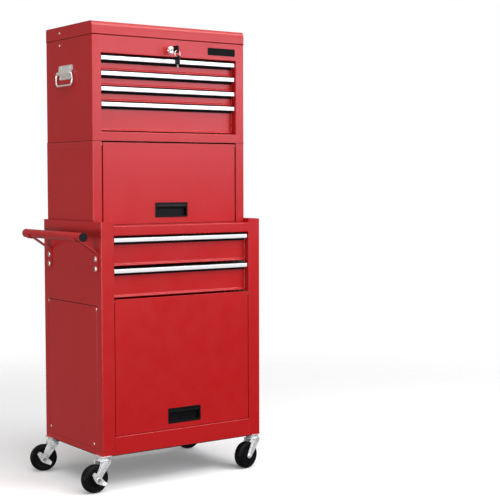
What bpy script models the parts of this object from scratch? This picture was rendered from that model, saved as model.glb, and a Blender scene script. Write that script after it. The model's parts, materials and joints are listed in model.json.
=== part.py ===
"""Rolling tool chest: a wheeled lower cabinet, a middle chest and a hinged-lid top chest.

Lengths are in millimetres and become metres in place(). Cabinet coordinates: x across from the
centre line (+X is the right side), y back from the front face of the lower cabinet, z up from the floor.
"""

import math

import bmesh
import bpy
from mathutils import Matrix, Vector

MM = 0.001
SHEET = 1.2

# Centre of the overall plan, so that the world origin lies under the middle of the bounding box.
PLAN_CENTRE = (-31.31, 171.86)

# Lower cabinet
HALF_WIDTH = 255.0
DEPTH = 336.0
BASE_Z = 97.0
LIP_Z = 715.6
OPENING_HALF = 217.0
JAMB_DEPTH = 20.0
BOTTOM_RAIL_TOP = 145.3
TRAY_Z = 695.0
TOP_RAIL = (678.0, 704.7)
PANEL_Y = (26.0, 312.0)
PANEL_Z = (111.0, 494.5)
LOWER_PIVOT = (7.0, 504.0)
LOWER_DOOR_Z = (146.8, 509.4)
LOWER_GRIP_Z = (162.0, 202.0)
LOWER_DRAWERS = ((597.4, 672.0), (513.4, 589.8))
LOWER_RUNNER_Y = (24.0, 322.0)

# Middle and top chests
CHEST_HALF = 244.5
CHEST_FRONT = 61.5
MIDDLE_BACK = 332.5
MIDDLE_Z = (695.3, 929.2)
MIDDLE_PIVOT = (68.5, 921.0)
MIDDLE_DOOR_Z = (706.6, 926.2)
MIDDLE_GRIP_Z = (723.8, 762.6)
TOP_BACK = 330.0
TOP_Z = (929.7, 1210.0)
TOP_OPENING = (954.5, 1162.0)
TOP_DRAWERS = ((1118.6, 1156.0), (1077.6, 1115.0), (1036.6, 1074.0), (957.4, 1033.0))
TILL_Z = 1164.5
LID_Z = (1210.8, 1245.5)
LID_ROUND = 8.0
HINGE = (333.0, 1210.4)
HINGE_RADIUS = 2.8
LOCK_Z = 1181.0

# Door carriages
DOOR_DEPTH = 12.0
PIVOT_SETBACK = 5.8
ROD_RADIUS = 2.5
ROLLER_RADIUS = 5.0
TRACK_X = (219.0, 229.4)
TRACK_HALF = 5.4

# Drawers
FACE_HALF = 215.4
BOX_HALF = 204.0
RIB_OUT = 214.0
STRIP_FRONT = 4.0
STRIP_HEIGHT = 13.0
STRIP_HALF = 213.9

# Casters
CASTER_INSET = (12.0, 20.0)
PLATE_HALF = (16.0, 20.0)
TRAIL = 28.0
WHEEL_RADIUS = 38.0
WHEEL_HALF = 12.0
CASTERS = {
    "front_left": (-1, 0, 3.0),
    "front_right": (1, 0, 11.0),
    "rear_left": (-1, 1, -20.0),
    "rear_right": (1, 1, -30.0),
}

# Push handle
TUBE_X = -312.6
TUBE_Z = 678.0
TUBE_RADIUS = 11.7
TUBE_Y = (-8.6, 327.5)
STRAP_Y = (26.0, 298.0)
STRAP_HALF = 11.0

# Lid stays
STAY_Y = 246.5
STAY_Z = (1194.5, 1228.0)
STAY_LENGTH = 78.0

# Side bail handles
BAIL_X = 250.8
BAIL_CENTRE = (210.0, 1116.0)


def clear_scene():
    for thing in list(bpy.data.objects):
        bpy.data.objects.remove(thing, do_unlink=True)


def make_collection(name):
    made = bpy.data.collections.new(name)
    bpy.context.scene.collection.children.link(made)
    return made


def make_material(name, colour, metallic, roughness):
    material = bpy.data.materials.new(name)
    material.use_nodes = True
    shader = material.node_tree.nodes["Principled BSDF"]
    shader.inputs["Base Color"].default_value = (*colour, 1.0)
    shader.inputs["Metallic"].default_value = metallic
    shader.inputs["Roughness"].default_value = roughness
    return material


def finished(bm):
    bmesh.ops.recalc_face_normals(bm, faces=bm.faces)
    return bm


def block(x, y, z):
    """A box between the two ends given on each axis."""
    bm = bmesh.new()
    bmesh.ops.create_cube(bm, size=1.0)
    size = Vector((abs(x[1] - x[0]), abs(y[1] - y[0]), abs(z[1] - z[0])))
    centre = Vector((x[0] + x[1], y[0] + y[1], z[0] + z[1])) / 2
    bmesh.ops.scale(bm, vec=size, verts=bm.verts)
    bmesh.ops.translate(bm, vec=centre, verts=bm.verts)
    return finished(bm)


def prism(outline, axis, low, high):
    """The outline, given in the two other axes in XYZ order, drawn out along axis."""
    others = [i for i in range(3) if i != axis]
    bm = bmesh.new()
    corners = []
    for a, b in outline:
        point = [0.0, 0.0, 0.0]
        point[others[0]] = a
        point[others[1]] = b
        point[axis] = low
        corners.append(bm.verts.new(point))
    face = bm.faces.new(corners)
    made = bmesh.ops.extrude_face_region(bm, geom=[face])
    moved = [item for item in made["geom"] if isinstance(item, bmesh.types.BMVert)]
    step = [0.0, 0.0, 0.0]
    step[axis] = high - low
    bmesh.ops.translate(bm, vec=step, verts=moved)
    return finished(bm)


def cylinder(axis, centre, radius, low, high, segments=24):
    """A closed cylinder along axis, with its centre given in the two other axes in XYZ order."""
    bm = bmesh.new()
    bmesh.ops.create_cone(
        bm,
        cap_ends=True,
        segments=segments,
        radius1=radius,
        radius2=radius,
        depth=high - low,
    )
    turn = (
        Matrix.Rotation(math.pi / 2, 3, "Y"),
        Matrix.Rotation(math.pi / 2, 3, "X"),
        Matrix.Identity(3),
    )[axis]
    bmesh.ops.rotate(bm, cent=(0, 0, 0), matrix=turn, verts=bm.verts)
    shift = list(centre)
    shift.insert(axis, (low + high) / 2)
    bmesh.ops.translate(bm, vec=shift, verts=bm.verts)
    return finished(bm)


def folded(path, thickness=SHEET):
    """Outline of a bent sheet: the path is one face of it and the thickness lies to its left."""
    inner = []
    for i, point in enumerate(path):
        here = Vector(point)
        before = (here - Vector(path[i - 1])).normalized() if i > 0 else None
        after = (Vector(path[i + 1]) - here).normalized() if i < len(path) - 1 else None
        first = before or after
        second = after or before
        left_a = Vector((-first.y, first.x))
        left_b = Vector((-second.y, second.x))
        middle = (left_a + left_b).normalized()
        inner.append(tuple(here + middle * thickness / middle.dot(left_a)))
    return list(path) + inner[::-1]


def arc(centre, radius, start, end, steps):
    """Points on an arc between two angles in degrees."""
    points = []
    for i in range(steps + 1):
        angle = math.radians(start + (end - start) * i / steps)
        points.append((centre[0] + radius * math.cos(angle), centre[1] + radius * math.sin(angle)))
    return points


def capsule(first, second, radius, steps=8):
    """Outline of a link with round ends."""
    along = math.degrees(math.atan2(second[1] - first[1], second[0] - first[0]))
    ends = arc(second, radius, along - 90, along + 90, steps)
    return ends + arc(first, radius, along + 90, along + 270, steps)


def rounded(low, high, radius, steps=4):
    """Outline of a rectangle with four round corners."""
    (a, b), (c, d) = low, high
    points = arc((c - radius, d - radius), radius, 0, 90, steps)
    points += arc((a + radius, d - radius), radius, 90, 180, steps)
    points += arc((a + radius, b + radius), radius, 180, 270, steps)
    points += arc((c - radius, b + radius), radius, 270, 360, steps)
    return points


def place(bm, name, origin, collection, parent):
    """Puts cabinet-coordinate geometry on a new object whose origin is at the given point."""
    bmesh.ops.translate(bm, vec=-Vector(origin), verts=bm.verts)
    bmesh.ops.scale(bm, vec=(MM, MM, MM), verts=bm.verts)
    mesh = bpy.data.meshes.new(name)
    bm.to_mesh(mesh)
    bm.free()
    made = bpy.data.objects.new(name, mesh)
    collection.objects.link(made)
    made.parent = parent
    return made


def add_boolean(piece, operation, shapes, label):
    helpers = bpy.data.collections.new(f"{piece.name}_{label}")
    HELPERS.children.link(helpers)
    for i, bm in enumerate(shapes):
        helper = place(bm, f"{piece.name}_{label}_{i}", piece["origin"], helpers, piece)
        helper.hide_render = True
        helper.display_type = "WIRE"
    modifier = piece.modifiers.new(label, "BOOLEAN")
    modifier.operation = operation
    modifier.operand_type = "COLLECTION"
    modifier.collection = helpers
    modifier.solver = "EXACT"


def piece(name, material, base, joined=(), cut=(), origin=(0, 0, 0), parent=None, smooth=False):
    """One named sub-part: a base shape with others joined to it and then others cut away."""
    made = place(base, name, origin, PARTS, parent or ROOT)
    made["origin"] = origin
    anchor = Vector(origin) - Vector(parent["origin"] if parent else (0, 0, 0))
    made.location = anchor * MM
    made.data.materials.append(material)
    if smooth:
        made.data.shade_smooth()
        made.data.set_sharp_from_angle(angle=math.radians(35))
    if joined:
        add_boolean(made, "UNION", joined, "join")
    if cut:
        add_boolean(made, "DIFFERENCE", cut, "cut")
    return made


def joint_empty(name, origin, parent=None, turn=0.0):
    made = bpy.data.objects.new(name, None)
    PARTS.objects.link(made)
    made.parent = parent or ROOT
    made["origin"] = origin
    made.location = (Vector(origin) - Vector(parent["origin"] if parent else (0, 0, 0))) * MM
    made.rotation_euler.z = math.radians(turn)
    return made


def both(x0, x1, side):
    return (side * x0, side * x1)


def lower_sides():
    edge = (OPENING_HALF, JAMB_DEPTH)
    profile = [edge, (OPENING_HALF, 0), (HALF_WIDTH, 0), (HALF_WIDTH, DEPTH), (240, DEPTH)]
    outline = folded(profile)
    slot_y = (2.2, JAMB_DEPTH + 1)
    slot_z = (LOWER_PIVOT[1] - 6, LOWER_PIVOT[1] + 6.2)
    for name, side in (("lower_side_left", -1), ("lower_side_right", 1)):
        base = prism([(side * x, y) for x, y in outline], 2, BASE_Z, LIP_Z)
        cuts = [
            block(both(216, 219.5, side), slot_y, slot_z),
            block(both(216, 219.5, side), (1.25, JAMB_DEPTH + 1), (BASE_Z - 1, 99.0)),
            block(both(216, 219.5, side), (1.25, JAMB_DEPTH + 1), (TRAY_Z - 1.6, LIP_Z + 1)),
        ]
        joins = []
        if side < 0:
            frame_y = (PANEL_Y[0] - 6, PANEL_Y[1] + 6)
            frame_z = (PANEL_Z[0] - 6, PANEL_Z[1] + 6)
            joins.append(block(both(252.7, 253.9, side), frame_y, frame_z))
            cuts.append(block(both(253.75, 256, side), PANEL_Y, PANEL_Z))
            hole_y = (PANEL_Y[0] + 5, PANEL_Y[1] - 5)
            hole_z = (PANEL_Z[0] + 5, PANEL_Z[1] - 5)
            cuts.append(block(both(251, 254, side), hole_y, hole_z))
        piece(name, RED, base, joins, cuts)


def lower_shell():
    piece("lower_back", RED, block((-253.2, 253.2), (333.0, 334.2), (99.2, LIP_Z)))
    rail = folded([(18, 137), (18, BOTTOM_RAIL_TOP), (0, BOTTOM_RAIL_TOP), (0, BASE_Z)])
    piece(
        "lower_floor",
        RED,
        block((-253.4, 253.4), (1.6, 332.6), (97.2, 98.6)),
        [prism(rail, 0, -216.6, 216.6), block((-216.4, 216.4), (0.6, 5), (97.4, 98.4))],
    )
    low, high = TOP_RAIL
    rail = folded([(4, high), (0, high), (0, low), (18, low), (18, low + 8)])
    piece(
        "lower_tray",
        RED,
        block((-253.4, 253.4), (1.6, 332.6), (TRAY_Z - SHEET, TRAY_Z)),
        [prism(rail, 0, -216.6, 216.6), block((-216.4, 216.4), (0.6, 5), (693.95, 694.9))],
    )
    panel_y = (PANEL_Y[0] + 0.5, PANEL_Y[1] - 0.5)
    panel_z = (PANEL_Z[0] + 0.5, PANEL_Z[1] - 0.5)
    piece("access_panel", RED, block((-HALF_WIDTH, -254.05), panel_y, panel_z))


def runner_ledges(ribs, y, side):
    """The two ledges that hold each drawer's rib, at one side."""
    made = []
    for z in ribs:
        made.append(block(both(206, 216.6, side), y, (z - 3.1, z - 1.9)))
        made.append(block(both(206, 216.6, side), y, (z + 1.9, z + 3.1)))
    return made


def track_outline(pivot_z, side):
    low, high = pivot_z - TRACK_HALF, pivot_z + TRACK_HALF
    inner, outer = TRACK_X
    path = [(inner, low - SHEET), (outer, low - SHEET), (outer, high + SHEET), (inner, high + SHEET)]
    return [(side * x, z) for x, z in folded(path)]


def lower_rails():
    ribs = [low + 30 for low, _ in LOWER_DRAWERS]
    foot = LOWER_PIVOT[1] + TRACK_HALF + 0.6
    for name, side in (("lower_rails_left", -1), ("lower_rails_right", 1)):
        joins = [
            block(both(216, 252.4, side), (22, 23.2), (foot, 668)),
            block(both(216, 252.4, side), (323.6, 324.8), (foot, 668)),
            block(both(216, 217.2, side), (22.4, 324.4), (foot + 3.5, 667)),
        ]
        joins += runner_ledges(ribs, LOWER_RUNNER_Y, side)
        track = prism(track_outline(LOWER_PIVOT[1], side), 1, 1.7, 327)
        piece(name, ZINC, track, joins)


def drawer(name, low, high, front, back, rib_rise):
    """A drawer box with its face, bottom lip and side ribs; the pull strip is its own piece."""
    face_top = high - 2
    box_top = high - 9
    face = front + JAMB_DEPTH
    rib = low + rib_rise
    joins = [
        block((-FACE_HALF, FACE_HALF), (face, face + 1.2), (low, face_top)),
        block((-FACE_HALF, FACE_HALF), (face - 3.5, face + 0.6), (low + 0.1, low + 1.3)),
        block((-FACE_HALF, FACE_HALF), (face - 3.6, face - 2.6), (low + 0.2, low + 4)),
    ]
    for side in (-1, 1):
        rib_x = both(BOX_HALF - 0.5, RIB_OUT, side)
        joins.append(block(rib_x, (face + 3, back - 0.6), (rib - 1.5, rib + 1.5)))
    inside = block((1 - BOX_HALF, BOX_HALF - 1), (face + 1.8, back - 1), (low + 4, high + 30))
    base = block((-BOX_HALF, BOX_HALF), (face + 0.4, back), (low + 3, box_top))
    piece(name, RED, base, joins, [inside])
    nose = front + STRIP_FRONT
    foot = high - STRIP_HEIGHT
    path = [(face + 4, high - 8), (face + 4, high), (nose, high), (nose, foot), (nose + 5, foot)]
    pull = name.replace("drawer", "pull")
    piece(pull, ALUMINIUM, prism(folded(path, 1.4), 0, -STRIP_HALF, STRIP_HALF))


def drawers():
    for i, (low, high) in enumerate(LOWER_DRAWERS):
        drawer(f"lower_drawer_{i + 1}", low, high, 0.0, 312.0, 30.0)
    for i, (low, high) in enumerate(TOP_DRAWERS):
        drawer(f"top_drawer_{i + 1}", low, high, CHEST_FRONT, 314.0, 16.0)


def flip_door(prefix, pivot, door_z, grip_z, half, front):
    """A door pan with its recessed grip, hung on a rod whose end rollers run in the side tracks."""
    skin = pivot[0] - PIVOT_SETBACK
    rod = joint_empty(f"{prefix}_door_carriage", (0, pivot[0], pivot[1]))
    rollers = [
        cylinder(0, pivot, ROLLER_RADIUS, 219.6, 226.6),
        cylinder(0, pivot, ROLLER_RADIUS, -226.6, -219.6),
    ]
    base = cylinder(0, pivot, ROD_RADIUS, -226, 226, 16)
    piece(f"{prefix}_door_rod", ZINC, base, rollers, (), (0, pivot[0], pivot[1]), rod, True)
    cuts = [
        block((1 - half, half - 1), (skin + 1, skin + 30), (door_z[0] + 1, door_z[1] - 1)),
        block((-50.6, 50.6), (skin - 5, skin + 5), (grip_z[0] + 1, grip_z[1] - 1)),
        cylinder(0, pivot, ROD_RADIUS + 0.6, half - 3, half + 3, 16),
        cylinder(0, pivot, ROD_RADIUS + 0.6, -half - 3, 3 - half, 16),
    ]
    base = block((-half, half), (skin, skin + DOOR_DEPTH), door_z)
    origin = (0, pivot[0], pivot[1])
    door = piece(f"{prefix}_door", RED, base, (), cuts, origin, rod)
    cup = block((-50.2, 50.2), (skin - 0.7, skin + 10.4), (grip_z[0] + 1.4, grip_z[1] - 1.4))
    hollow = block((-48.8, 48.8), (front - 9, skin + 9.2), (grip_z[0] + 2.8, grip_z[1] - 2.8))
    hood = block((-49, 49), (skin - 0.9, skin + 0.3), (grip_z[1] - 14, grip_z[1] - 2))
    rim = block((-52.6, 52.6), (skin - 1.1, skin - 0.3), (grip_z[0] - 1, grip_z[1] + 1))
    grip = piece(f"{prefix}_door_grip", BLACK, rim, [cup], [hollow], origin, door)
    add_boolean(grip, "UNION", [hood], "hood")


def chest_wall(back, low, high):
    """One bent sheet: both front stiles with their jambs, both sides and the back."""
    right = [
        (OPENING_HALF, CHEST_FRONT + JAMB_DEPTH),
        (OPENING_HALF, CHEST_FRONT),
        (CHEST_HALF, CHEST_FRONT),
        (CHEST_HALF, back),
    ]
    left = [(-x, y) for x, y in right[::-1]]
    return prism(folded(right + left), 2, low, high)


def middle_chest():
    low, high = MIDDLE_Z
    joins = [
        block((-244, 244), (62, 332), (low + 0.2, low + 1.6)),
        block((-217.6, 217.6), (61.6, 62.8), (low + 0.1, 705.2)),
        block((-244, 244), (311, 332), (high - 1.3, high - 0.3)),
    ]
    cuts = []
    for side in (-1, 1):
        joins.append(block(both(222, 244.1, side), (62.1, 331.9), (high - 2, high - 0.2)))
        joins.append(prism(track_outline(MIDDLE_PIVOT[1], side), 1, 63.3, 328))
        slot_z = (MIDDLE_PIVOT[1] - 4, MIDDLE_PIVOT[1] + 4)
        cuts.append(block(both(216, 218.6, side), (64, 82.5), slot_z))
    piece("middle_body", RED, chest_wall(MIDDLE_BACK, low, high), joins, cuts)


def top_chest():
    low, high = TOP_Z
    joins = [
        block((-244, 244), (62, 329.5), (low + 0.2, low + 1.6)),
        block((-217.6, 217.6), (61.6, 62.8), (low + 0.1, TOP_OPENING[0] - 0.1)),
        block((-217.7, 217.7), (61.7, 79), (TOP_OPENING[0] - 1.2, TOP_OPENING[0])),
        block((-217.6, 217.6), (61.6, 62.8), (TOP_OPENING[1] + 0.1, high - 0.1)),
        block((-217.7, 217.7), (61.7, 79), (TOP_OPENING[1], TOP_OPENING[1] + 1.2)),
        block((-244, 244), (62, 329.5), (TILL_Z, TILL_Z + 1.2)),
    ]
    for a, b in ((-220, -140), (-40, 40), (140, 220)):
        joins.append(cylinder(0, HINGE, HINGE_RADIUS, a, b, 16))
        joins.append(block((a + 1, b - 1), (329.2, 333), (HINGE[1] - 2.6, HINGE[1] - 0.9)))
    bore = cylinder(1, (0, LOCK_Z), 7.4, 55, 66)
    piece("top_body", RED, chest_wall(TOP_BACK, low, high), joins, [bore])
    ribs = [z + 16 for z, _ in TOP_DRAWERS]
    for name, side in (("top_rails_left", -1), ("top_rails_right", 1)):
        joins = [
            block(both(216, 242.4, side), (84, 85.2), (958, 1158)),
            block(both(216, 242.4, side), (316.8, 318), (958, 1158)),
        ]
        joins += runner_ledges(ribs, (86, 316), side)
        web = block(both(216, 217.2, side), (84.4, 317.6), (958.5, 1157.5))
        piece(name, ZINC, web, joins)


def lid_outline(inset, low):
    front, back, top = CHEST_FRONT + inset, TOP_BACK - inset, LID_Z[1] - inset
    radius = LID_ROUND - inset
    points = [(front, low), (back, low)]
    points += arc((back - radius, top - radius), radius, 0, 90, 5)
    points += arc((front + radius, top - radius), radius, 90, 180, 5)
    return points


def lid():
    origin = (0, *HINGE)
    joins = []
    for a, b in ((-139.4, -40.6), (40.6, 139.4)):
        joins.append(cylinder(0, HINGE, HINGE_RADIUS, a, b, 16))
        joins.append(block((a + 1, b - 1), (329.2, 333), (HINGE[1] + 0.9, HINGE[1] + 2.6)))
    base = prism(lid_outline(0.0, LID_Z[0]), 0, -CHEST_HALF, CHEST_HALF)
    inside = prism(lid_outline(SHEET, LID_Z[0] - 20), 0, SHEET - CHEST_HALF, CHEST_HALF - SHEET)
    cover = piece("top_lid", RED, base, (), [inside], origin)
    add_boolean(cover, "UNION", joins, "hinge")
    return cover


def stays(cover):
    """Two links at each side: one pivots on the body, one on the lid, and both end at the elbow."""
    low, high = STAY_Z
    reach = math.sqrt(STAY_LENGTH**2 - ((high - low) / 2) ** 2)
    elbow = (STAY_Y - reach, (low + high) / 2)
    for tag, side in (("left", -1), ("right", 1)):
        link = prism(capsule((STAY_Y, low), elbow, 5.5), 0, *sorted(both(240.9, 241.9, side)))
        origin = (side * 241.4, STAY_Y, low)
        piece(f"stay_lower_{tag}", ZINC, link, (), (), origin)
        link = prism(capsule((STAY_Y, high), elbow, 5.5), 0, *sorted(both(239.3, 240.3, side)))
        origin = (side * 239.8, STAY_Y, high)
        piece(f"stay_upper_{tag}", ZINC, link, (), (), origin, cover)


def lock():
    axis = (0, LOCK_Z)
    origin = (0, CHEST_FRONT, LOCK_Z)
    barrel = cylinder(1, axis, 6.9, 59, 80)
    head = cylinder(1, axis, 9.0, 57, 61.2)
    keyway = block((-1.2, 1.2), (50, 72), (LOCK_Z - 4, LOCK_Z + 4))
    piece("lock_cylinder", CHROME, barrel, [head], [keyway], origin, smooth=True)
    bow = prism(rounded((22, LOCK_Z - 10), (46, LOCK_Z + 10), 5), 0, -2.2, 2.2)
    blade = block((-0.8, 0.8), (44, 70), (LOCK_Z - 3.4, LOCK_Z + 3.4))
    ring_hole = cylinder(0, (27, LOCK_Z - 4), 2.4, -5, 5, 16)
    piece("key", BLACK, bow, [blade], [ring_hole], origin)


def bail_handles():
    y, z = BAIL_CENTRE
    for tag, side in (("left", -1), ("right", 1)):
        upper = [(y - 42, z + 6), (y + 42, z + 6), (y + 39, z + 22), (y - 39, z + 22)]
        plate = prism(upper, 0, *sorted(both(244.8, 246.4, side)))
        joins = [
            block(both(244.9, 246.3, side), (y - 34, y + 34), (z - 16.5, z + 7)),
            cylinder(1, (side * BAIL_X, z), 5.2, y - 38, y + 38, 16),
        ]
        bore = cylinder(1, (side * BAIL_X, z), 3.0, y - 60, y + 60, 16)
        origin = (side * BAIL_X, y, z)
        piece(f"bail_plate_{tag}", CHROME, plate, joins, [bore], origin)
        path = [(-30, 0), (-43, 0), (-48, -20), (-42, -33), (42, -33), (48, -20), (43, 0), (30, 0)]
        curve = bpy.data.curves.new(f"bail_{tag}", "CURVE")
        curve.dimensions = "3D"
        curve.bevel_depth = 2.4 * MM
        curve.bevel_resolution = 2
        curve.use_fill_caps = True
        spline = curve.splines.new("POLY")
        spline.points.add(len(path) - 1)
        for point, (dy, dz) in zip(spline.points, path):
            point.co = (0, dy * MM, dz * MM, 1)
        curve.materials.append(CHROME)
        wire = bpy.data.objects.new(f"bail_wire_{tag}", curve)
        PARTS.objects.link(wire)
        wire.parent = ROOT
        wire.location = Vector(origin) * MM


def push_handle():
    tube = cylinder(1, (TUBE_X, TUBE_Z), TUBE_RADIUS, *TUBE_Y, 32)
    bore = cylinder(1, (TUBE_X, TUBE_Z), TUBE_RADIUS - 1.5, TUBE_Y[0] - 5, TUBE_Y[1] + 5, 32)
    piece("handle_tube", RED, tube, (), [bore], smooth=True)
    for tag, end, out in (("front", TUBE_Y[0], -1), ("rear", TUBE_Y[1], 1)):
        disc_y = sorted((end + out * 0.3, end + out * 2.3))
        disc = cylinder(1, (TUBE_X, TUBE_Z), TUBE_RADIUS + 0.3, *disc_y, 32)
        plug_y = sorted((end + out, end - out * 12))
        plug = cylinder(1, (TUBE_X, TUBE_Z), TUBE_RADIUS - 1.9, *plug_y, 32)
        piece(f"handle_cap_{tag}", BLACK, disc, [plug], smooth=True)
    wall = -HALF_WIDTH - 0.3
    arm = [(wall, 584), (wall, 634), (TUBE_X + 8, TUBE_Z - 10.5)]
    for tag, y in zip(("front", "rear"), STRAP_Y):
        strap = prism(folded(arm, 2.4), 1, y - STRAP_HALF, y + STRAP_HALF)
        saddle_y = (y - STRAP_HALF + 0.1, y + STRAP_HALF - 0.1)
        saddle = cylinder(1, (TUBE_X, TUBE_Z), TUBE_RADIUS + 2.6, *saddle_y, 32)
        seat = cylinder(1, (TUBE_X, TUBE_Z), TUBE_RADIUS + 0.3, y - 20, y + 20, 32)
        upper = block((TUBE_X - 40, TUBE_X + 40), (y - 20, y + 20), (TUBE_Z - 1, TUBE_Z + 40))
        piece(f"handle_bracket_{tag}", RED, strap, [saddle], [seat, upper])


def wheel(name, parent, centre):
    """A solid wheel turned about its axle, which lies along local Y."""
    half, radius = WHEEL_HALF, WHEEL_RADIUS
    profile = [
        (4.2, half + 1),
        (9, half + 1),
        (10, half - 1.5),
        (25, half - 2.5),
        (28, half - 0.3),
        (radius - 5, half),
        (radius - 1.4, half - 2.6),
        (radius, half - 7),
    ]
    profile += [(r, -h) for r, h in profile[::-1]]
    mesh = bpy.data.meshes.new(name)
    points = [(r * MM, 0, h * MM) for r, h in profile]
    count = len(points)
    mesh.from_pydata(points, [(i, (i + 1) % count) for i in range(count)], [])
    mesh.materials.append(TYRE)
    made = bpy.data.objects.new(name, mesh)
    PARTS.objects.link(made)
    made.parent = parent
    made["origin"] = centre
    made.location = (Vector(centre) - Vector(parent["origin"])) * MM
    made.rotation_euler.x = math.pi / 2
    turn = made.modifiers.new("turn", "SCREW")
    turn.axis = "Z"
    turn.steps = 36
    turn.render_steps = 36
    turn.use_merge_vertices = True
    turn.merge_threshold = 0.0001
    turn.use_smooth_shade = True


def fork(name, parent, centre):
    """A swivel fork: top disc, a leg at each side of the wheel and the axle through both."""
    cx, cy = centre[0], centre[1]
    back = cx - TRAIL
    leg = [(cx + 13, 83.5), (cx + 15, 78), (back + 8, 33)]
    leg += arc((back, 38.0), 8.0, -25, -180, 7)
    leg += [(cx - 19, 83.5)]
    top = cylinder(2, (cx, cy), 19.0, 82.6, 85.6, 28)
    bridge = block((cx - 18, cx + 13), (cy - 16, cy + 16), (82.7, 84.9))
    joins = [bridge]
    for side in (-1, 1):
        joins.append(prism(leg, 1, *sorted((cy + side * 14.4, cy + side * 16.4))))
        joins.append(cylinder(1, (back, 38.0), 5.6, *sorted((cy + side * 16, cy + side * 20.4)), 6))
    joins.append(cylinder(1, (back, 38.0), 3.6, cy - 17, cy + 17, 16))
    piece(name, ZINC, top, joins, (), centre, parent)


def brake(name, parent, centre):
    """A rocker on the front end of the axle, with a foot tab at each end."""
    cx, cy = centre[0], centre[1]
    back = cx - TRAIL
    near = cy - 22.6
    rocker = [
        (back - 21, 56),
        (back - 13, 62),
        (back + 9, 45),
        (back + 24, 27),
        (back + 19, 18),
        (back + 6, 21),
        (back - 6, 28),
        (back - 17, 45),
    ]
    body = prism(rocker, 1, near, near + 1.6)
    upper_tab = [(back - 21, 55), (back - 13, 61), (back - 14, 62.6), (back - 22, 56.6)]
    lower_tab = [(back + 24, 27), (back + 19, 18), (back + 20.6, 17), (back + 25.6, 26)]
    tabs = [prism(tab, 1, near - 8, near + 1) for tab in (upper_tab, lower_tab)]
    bore = cylinder(1, (back, 38.0), 3.6, near - 5, near + 5, 16)
    origin = (back, cy, 38.0)
    piece(name, ZINC, body, tabs, [bore], origin, parent)


def casters():
    for tag, (side, rear, turn) in CASTERS.items():
        x = side * (HALF_WIDTH - CASTER_INSET[0])
        y = DEPTH - CASTER_INSET[1] if rear else CASTER_INSET[1]
        half_x, half_y = PLATE_HALF
        plate = block((x - half_x, x + half_x), (y - half_y, y + half_y), (94.4, 96.9))
        race = cylinder(2, (x, y), 15.5, 86.0, 95.0, 28)
        piece(f"caster_plate_{tag}", ZINC, plate, [race])
        origin = (x, y, 90.0)
        swivel = joint_empty(f"caster_swivel_{tag}", origin, None, turn)
        fork(f"caster_fork_{tag}", swivel, origin)
        axle = joint_empty(f"caster_axle_{tag}", (x - TRAIL, y, WHEEL_RADIUS), swivel)
        wheel(f"caster_wheel_{tag}", axle, (x - TRAIL, y, WHEEL_RADIUS))
        if side < 0:
            brake(f"caster_brake_{tag}", swivel, origin)


clear_scene()
PARTS = make_collection("rolling_tool_chest")
HELPERS = make_collection("helpers")
RED = make_material("red_paint", (0.50, 0.02, 0.03), 0.0, 0.32)
ALUMINIUM = make_material("bright_aluminium", (0.90, 0.90, 0.91), 1.0, 0.22)
ZINC = make_material("zinc_plate", (0.72, 0.73, 0.74), 1.0, 0.30)
CHROME = make_material("chrome", (0.85, 0.85, 0.86), 1.0, 0.12)
BLACK = make_material("black_plastic", (0.015, 0.015, 0.017), 0.0, 0.40)
TYRE = make_material("black_tyre", (0.02, 0.02, 0.02), 0.0, 0.55)

ROOT = bpy.data.objects.new("tool_chest_frame", None)
PARTS.objects.link(ROOT)
ROOT.location = (-PLAN_CENTRE[0] * MM, -PLAN_CENTRE[1] * MM, 0)

lower_sides()
lower_shell()
lower_rails()
drawers()
flip_door("lower", LOWER_PIVOT, LOWER_DOOR_Z, LOWER_GRIP_Z, 214.6, 0.0)
flip_door("middle", MIDDLE_PIVOT, MIDDLE_DOOR_Z, MIDDLE_GRIP_Z, 212.8, CHEST_FRONT)
middle_chest()
top_chest()
stays(lid())
lock()
bail_handles()
push_handle()
casters()
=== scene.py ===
"""Looks of the rolling tool chest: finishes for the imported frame, finer pieces, camera and light.

Lengths are in millimetres from the cabinet's own origin, as in the part: x across from the middle of the
cabinet, y back from its front face, z up from the floor. They become metres in make().
"""

import json
import math

import bmesh
import bpy
from mathutils import Matrix, Vector


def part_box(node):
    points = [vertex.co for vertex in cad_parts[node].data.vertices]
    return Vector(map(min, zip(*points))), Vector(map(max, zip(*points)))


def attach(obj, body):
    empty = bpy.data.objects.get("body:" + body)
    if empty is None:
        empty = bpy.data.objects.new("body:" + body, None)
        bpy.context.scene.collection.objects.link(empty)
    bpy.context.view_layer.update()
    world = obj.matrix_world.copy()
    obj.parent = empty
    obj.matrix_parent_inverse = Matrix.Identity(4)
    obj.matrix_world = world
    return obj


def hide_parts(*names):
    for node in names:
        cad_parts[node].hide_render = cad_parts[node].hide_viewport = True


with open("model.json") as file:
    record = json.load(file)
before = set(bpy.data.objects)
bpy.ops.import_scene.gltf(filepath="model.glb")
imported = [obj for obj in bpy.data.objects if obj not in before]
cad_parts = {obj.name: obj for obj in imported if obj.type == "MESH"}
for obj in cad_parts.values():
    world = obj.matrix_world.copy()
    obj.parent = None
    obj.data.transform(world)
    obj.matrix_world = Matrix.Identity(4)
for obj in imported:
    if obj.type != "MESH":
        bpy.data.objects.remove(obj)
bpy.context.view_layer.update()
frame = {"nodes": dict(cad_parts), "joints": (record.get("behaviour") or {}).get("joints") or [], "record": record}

MM = 0.001
SIDES = (("left", -1), ("right", 1))


def cabinet_origin():
    """The point on the floor below the middle of the lower cabinet's front face."""
    back_low, back_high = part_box("lower_back")
    side_low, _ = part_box("lower_side_right")
    return Vector(((back_low.x + back_high.x) / 2, side_low.y, 0.0))


ORIGIN = cabinet_origin()
CABINET = Matrix.Translation(ORIGIN)
JOINTS = {joint["name"]: joint for joint in frame["joints"]}
SLOTS = {row["node"]: row["material_slot"] for row in frame["record"]["subparts"]}


def mm_box(node):
    """Lowest and highest corner of a CAD node in cabinet millimetres."""
    low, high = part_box(node)
    return (low - ORIGIN) / MM, (high - ORIGIN) / MM


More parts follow.
